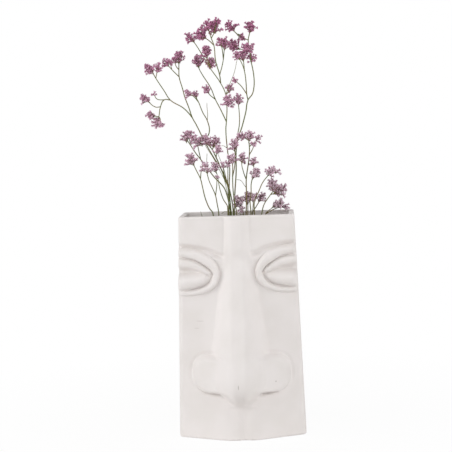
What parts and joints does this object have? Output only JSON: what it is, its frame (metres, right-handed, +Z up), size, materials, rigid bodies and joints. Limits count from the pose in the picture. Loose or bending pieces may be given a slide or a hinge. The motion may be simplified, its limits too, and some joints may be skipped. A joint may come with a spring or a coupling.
{
  "type": "face vase with dried flowers",
  "caption": "Upright white ceramic vase with a stylised face cast on its front, holding loose sprays of dried sea lavender that lift out.",
  "frame": {"origin": "centre of the vase's footprint, on the surface that it stands on", "axes": "+Z up; the face looks along -Y; +X to the right of someone looking at the face"},
  "size_m": [0.1825, 0.1449, 0.4742],
  "materials": {
    "bisque": "matte unglazed white bisque",
    "dried_stem": "matte dried plant stem",
    "dried_blossom": "matte papery dried calyx"
  },
  "bodies": {
    "vase": {"vase_body": "bisque"},
    "bouquet": {"spray_1_stem": "dried_stem", "spray_1_blossom": "dried_blossom", "spray_2_stem": "dried_stem", "spray_2_blossom": "dried_blossom", "spray_3_stem": "dried_stem", "spray_3_blossom": "dried_blossom", "spray_4_stem": "dried_stem", "spray_4_blossom": "dried_blossom", "spray_5_stem": "dried_stem", "spray_5_blossom": "dried_blossom", "spray_6_stem": "dried_stem", "spray_6_blossom": "dried_blossom", "spray_7_stem": "dried_stem", "spray_7_blossom": "dried_blossom", "spray_8_stem": "dried_stem", "spray_8_blossom": "dried_blossom", "spray_9_stem": "dried_stem", "spray_9_blossom": "dried_blossom", "spray_10_stem": "dried_stem", "spray_10_blossom": "dried_blossom"}
  },
  "joints": [
    {"name": "bouquet_lift", "type": "slide", "parent": "vase", "child": "bouquet", "axis": [0, 0, 1], "range_m": [0, 0.27]}
  ]
}
